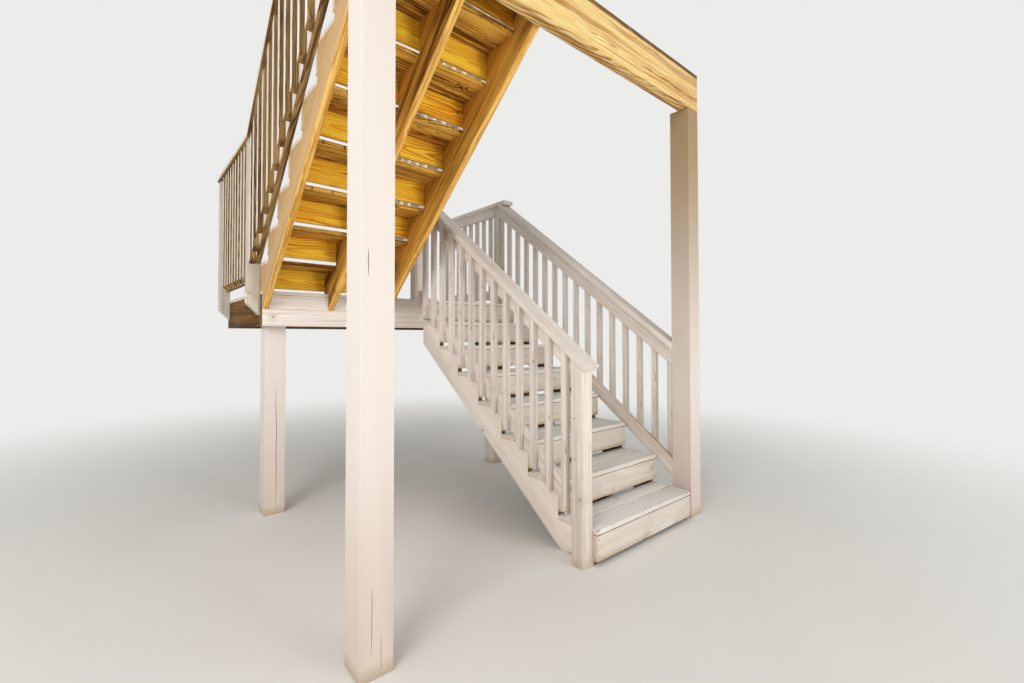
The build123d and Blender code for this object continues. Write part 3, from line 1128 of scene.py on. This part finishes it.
# Dirt at a riser's lower edge; at its upper edge a dark joint and painted shadow under the tread's
# nosing.
def joint_dirt(board, film, joint):
    upper = (board.v + board.half[1]).ramp(JOINT_REACH, 0.0) * board.cloud.ramp(0.3, 0.6) * 0.7
    film = board.shop.mix(upper, film, DIRT)
    lower = (board.half[1] - board.v).ramp(EDGE_REACH, 0.002) * joint
    return board.shop.mix(lower, film, JOINT_AND_NOSING_SHADOW)


def golden_ends(board, film):
    thin = board.gap[0].ramp(0.007, 0.001) * board.chips.ramp(0.36, 0.56) * 0.38
    return board.shop.mix(thin, film, END_GRAIN)


# The film grows darker towards the ground and is splashed within a few centimetres of it.
def darker_low_and_splashed(board, film, shade, foot):
    darker_low = board.here[2].ramp(1.1, 0.05) * foot
    film = board.shop.mix(darker_low * (0.30 + board.lines.ramp(0.45, 0.6) * 0.4), film, shade)
    return board.shop.mix(board.here[2].ramp(0.07, 0.0) * foot * 0.5, film, SPLASH)


# Painted warm bounce light under the beam, partly yellowed paint, and painted shade on the right
# post's left face.
def beam_bounce_and_flank_shade(board, film, sheltered):
    film = board.shop.mix(board.here[2].ramp(1.9, 2.8) * sheltered, film, BEAM_BOUNCE_YELLOW)
    flank_shade = (board.v + board.half[1]).ramp(0.006, 0.001) * board.here[0].ramp(0.0, 1.0)
    return board.shop.mix(board.here[2].ramp(0.6, 2.7) * flank_shade * 0.85, film, FLANK_SHADE_TAN)


def worn_off(board, wear, ends, foot):
    level = board.near.ramp(ARRIS_REACH, 0.0) * 0.34 + board.chips + board.streak * 0.12
    level = level + board.gap[0].ramp(END_REACH, 0.0) * ends
    bare = level.ramp(1.02 - wear * 0.4, 1.07 - wear * 0.4)
    if foot:
        flakes = (board.chips + board.here[2].ramp(0.14, 0.0) * 0.16).ramp(0.76, 0.84)
        bare = bare.high(flakes * board.here[2].ramp(0.4, 0.2))
    return bare


print("wear reaches", ARRIS_REACH * 1000, "mm from an arris and", END_REACH * 1000, "mm from an end")

# %% [markdown]
# ## Paint over timber
#
# One mask says how much of the paint is left, and it mixes the colour, the gloss and the height
# of the film together. The lower edge of a stringer was sawn last, never painted, and has kept
# its pale colour.

# %% Painted timber
SAWN = (srgb(250, 210, 118), srgb(192, 124, 36))


def sawn_edge(board, wood):
    edge = (board.half[1] - board.v).ramp(0.004, 0.002)
    lines = board.thread.ramp(0.40, 0.62) * 0.7 + board.fibre * 0.4
    return board.shop.mix(edge, wood, board.shop.mix(lines.low(1.0), *SAWN))


def painted_timber(name, coat, shade, wood, wear=0.3, foot=0.0, streaks=0.3, fresh=False, ends=0.0,
                   sheltered=0.0, joint=0.0, length=12.0, edges=0.0, chalk=0.35, **grain):
    shop = Shop(bpy.data.materials.new(name))
    board = PaintedBoard(shop, length, **grain)
    bare_wood = board.colour(*wood)
    if fresh:
        bare_wood = sawn_edge(board, bare_wood)
    film = film_colour(board, coat, shade, streaks, edges, chalk)
    if joint:
        film = joint_dirt(board, film, joint)
    if ends:
        film = golden_ends(board, film)
    if foot:
        film = darker_low_and_splashed(board, film, shade, foot)
    # Under the beam: painted warm bounce light, and painted shade on the right post's left face.
    if sheltered:
        film = beam_bounce_and_flank_shade(board, film, sheltered)
    paint = shop.node("ShaderNodeAttribute", {"attribute_name": "paint"}, out="Fac")
    coated = paint * (1 - worn_off(board, wear, ends, foot))
    height = board.relief() * 0.6 + board.lines * 0.5 + coated * 0.7
    shop.feed("Base Color", shop.mix(coated, bare_wood, film))
    shop.feed("Roughness", 0.72 - coated * 0.14 + board.lines * 0.08)
    shop.feed("Specular IOR Level", 0.25)
    shop.feed("Normal", shop.bump(height, 0.35, 0.001))
    return shop.owner


print("both recipes are ready")

# %% [markdown]
# ## The finishes
#
# Two recipes, several mixes: fresh paint under shelter, the same paint bleached on the treads,
# and raw pine that ranges from pale yellow on the beam to deep orange on the risers' backs. A
# palette of wood has its early wood, its late wood and its darkest streaks. A paint has its coat
# and the darker shade that it takes in its lines and clouds.

# %% Colours
ORANGE = (srgb(255, 216, 66), srgb(255, 176, 18), srgb(202, 108, 6))
GOLD = (srgb(248, 198, 92), srgb(208, 138, 28), srgb(100, 56, 6))
# The bare sides of the left guards: tan wood, darkened further as painted shade.
SHADED_TAN = (srgb(176, 144, 96), srgb(146, 112, 64), srgb(88, 62, 28))
# Bare wood of the landing's frame, darker than it is as painted shade on the left rim's outer face.
SHADED_RUSSET = (srgb(140, 96, 36), srgb(108, 70, 20), srgb(64, 38, 8))
# Grey weathered wood, darkened so that the bare baluster feet and the lower risers' backs carry
# painted shade.
SHADED_OLIVE = (srgb(140, 112, 72), srgb(108, 82, 48), srgb(66, 48, 26))
GREIGE = srgb(240, 232, 225)
SHADE = srgb(180, 164, 145)
WALKED = (srgb(245, 244, 240), srgb(204, 197, 186))
RISER = (srgb(216, 208, 197), SHADE)
CREAM = (srgb(237, 231, 225), srgb(194, 172, 157))
STRING = (srgb(241, 231, 221), srgb(200, 184, 168))
# The upper stringers' tan coat is faded wood and paint, darkened as painted shade and warmed as
# painted bounce light.
SHADED_STRING_COAT = (srgb(206, 170, 122), srgb(156, 116, 66))
NEWEL = (srgb(220, 211, 198), srgb(162, 151, 132))
HALF_PAINTED = (srgb(234, 227, 217), SHADE)
print("deepest orange", [round(v, 2) for v in ORANGE[2][:3]])

# %% [markdown]
# ## From colours to finishes
#
# Treads and risers share their wear, wherever they are. What differs is the wood under the paint:
# old and grey where it is weathered, and darkened there as painted shade, golden where it has never
# seen rain.

# %% Finishes for the pieces
TREAD_WEAR = {"wear": 0.26, "streaks": 0.45, "ends": 0.06, "length": 2.2, "edges": 0.6}
# A riser's dark line under the tread's nosing is a dark joint and painted shadow.
RISER_WEAR = {"wear": 0.22, "streaks": 0.45, "ends": 0.08, "length": 3.0, "joint": 0.9}
finish = {
    # On the posts, sheltered sets the painted warm bounce light under the beam.
    "cream": painted_timber("cream_post_paint", *CREAM, YELLOW, wear=0.2, foot=1.3, streaks=0.65,
                            sheltered=0.05, ring=0.013),
    "greige": painted_timber("greige_paint", GREIGE, SHADE, SHADED_OLIVE, wear=0.12, foot=0.8, streaks=0.6),
    "string": painted_timber("stringer_paint", *STRING, SHADED_OLIVE, wear=0.12, foot=0.4, streaks=0.3,
                             ring=0.012),
    # The upper stringers' outer faces carry painted shade and warm bounce light in their tan coat.
    "gold_string": painted_timber("sheltered_stringer", *SHADED_STRING_COAT, GOLD, wear=0.3, streaks=0.6,
                                  fresh=True, chalk=0.0, ring=0.012, blotchy=0.6),
    "tread": painted_timber("walked_paint", *WALKED, SHADED_OLIVE, blotchy=0.7, **TREAD_WEAR),
    "gold_tread": painted_timber("sheltered_tread", *WALKED, GOLD, stained=1.0, **TREAD_WEAR),
    "riser": painted_timber("riser_paint", *RISER, SHADED_OLIVE, ring=0.011, **RISER_WEAR),
    "gold_riser": painted_timber("sheltered_riser", *RISER, ORANGE, ring=0.012, blotchy=0.2,
                                 streaky=0.45, **RISER_WEAR),
    "raw": raw_pine,
    "frame": painted_timber("sheltered_frame", GREIGE, SHADE, SHADED_RUSSET, wear=0.3, streaks=0.45,
                            blotchy=0.6),
    "newel": painted_timber("weathered_newel", *NEWEL, SHADED_OLIVE, wear=0.15, streaks=0.6),
    # The left guards' bare sides are darkened as painted shade.
    "two_tone": painted_timber("half_painted_guard", *HALF_PAINTED, SHADED_TAN, wear=0.3, streaks=0.3,
                               blotchy=0.4),
}
print("finishes", sorted(finish))

# %% [markdown]
# ## Finishes for the metal
#
# The screws that stand in the open have lost their shine and rust in patches. The bolts and the
# screws of the balusters were painted over with the guards, and the rust has only just begun to
# come through.

# %% Zinc and painted fixings
zinc = Shop(bpy.data.materials.new("weathered_zinc"))
rust = zinc.noise(zinc.place(), 160.0, 3.0, 0.6).ramp(0.42, 0.66)
zinc.feed("Base Color", zinc.mix(rust, srgb(118, 112, 104), srgb(78, 50, 30)))
zinc.feed("Metallic", 0.7 - rust * 0.7)
zinc.feed("Roughness", 0.5 + rust * 0.35)

covered = Shop(bpy.data.materials.new("painted_fixings"))
rust = covered.noise(covered.place(), 120.0, 3.0, 0.6).ramp(0.58, 0.68)
covered.feed("Base Color", covered.mix(rust, GREIGE, srgb(112, 76, 46)))
covered.feed("Roughness", 0.45 + rust * 0.4)
print("metal finishes", [shop.owner.name for shop in (zinc, covered)])

# %% [markdown]
# ## Who wears what
#
# Most pieces have the common greige paint, and what is walked on has the worn one. The others are
# named here.

# %% Hand out the finishes
LOOK = {
    "cream": ("deck_posts", "landing_posts"),
    "string": [f"lower_stringer_{side}" for side, rule in STRINGERS],
    "gold_string": [f"upper_stringer_{side}" for side, rule in STRINGERS],
    "riser": ("lower_risers",),
    "gold_riser": ("upper_risers",),
    "gold_tread": [f"upper_tread_{number}" for number in TREADS],
    "raw": ("header_beam",),
    "newel": ("landing_newels",),
    "frame": ("landing_ledger", "landing_joists", "landing_side_rims"),
    "two_tone": ("upper_left_balusters", "upper_left_rails", "landing_left_balusters",
                 "landing_left_rails"),
}
BARE = ("header_beam", "landing_ledger", "landing_joists", "header_decking",
        "lower_stringer_middle", "upper_stringer_middle")
PAINTED_OVER = ("coach_bolts", "baluster_screws")

look_of = {node: key for key, nodes in LOOK.items() for node in nodes}
for node, piece in pieces.items():
    walked = "tread" in node or "decking" in node
    piece.data.materials.append(finish[look_of.get(node, "tread" if walked else "greige")])
    "bare_wood" if node in BARE else "painted_wood"
for piece in metal:
    coat = covered if piece.name in PAINTED_OVER else zinc
    piece.data.materials.clear()
    piece.data.materials.append(coat.owner)
print("dressed", len(pieces), "pieces of timber and", len(metal), "of metal")

# %% [markdown]
# ## Measure the size
#
# Dressing must not change how large the stairs are, so the box is measured once it is done.

# %% Size and finish
low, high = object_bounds()
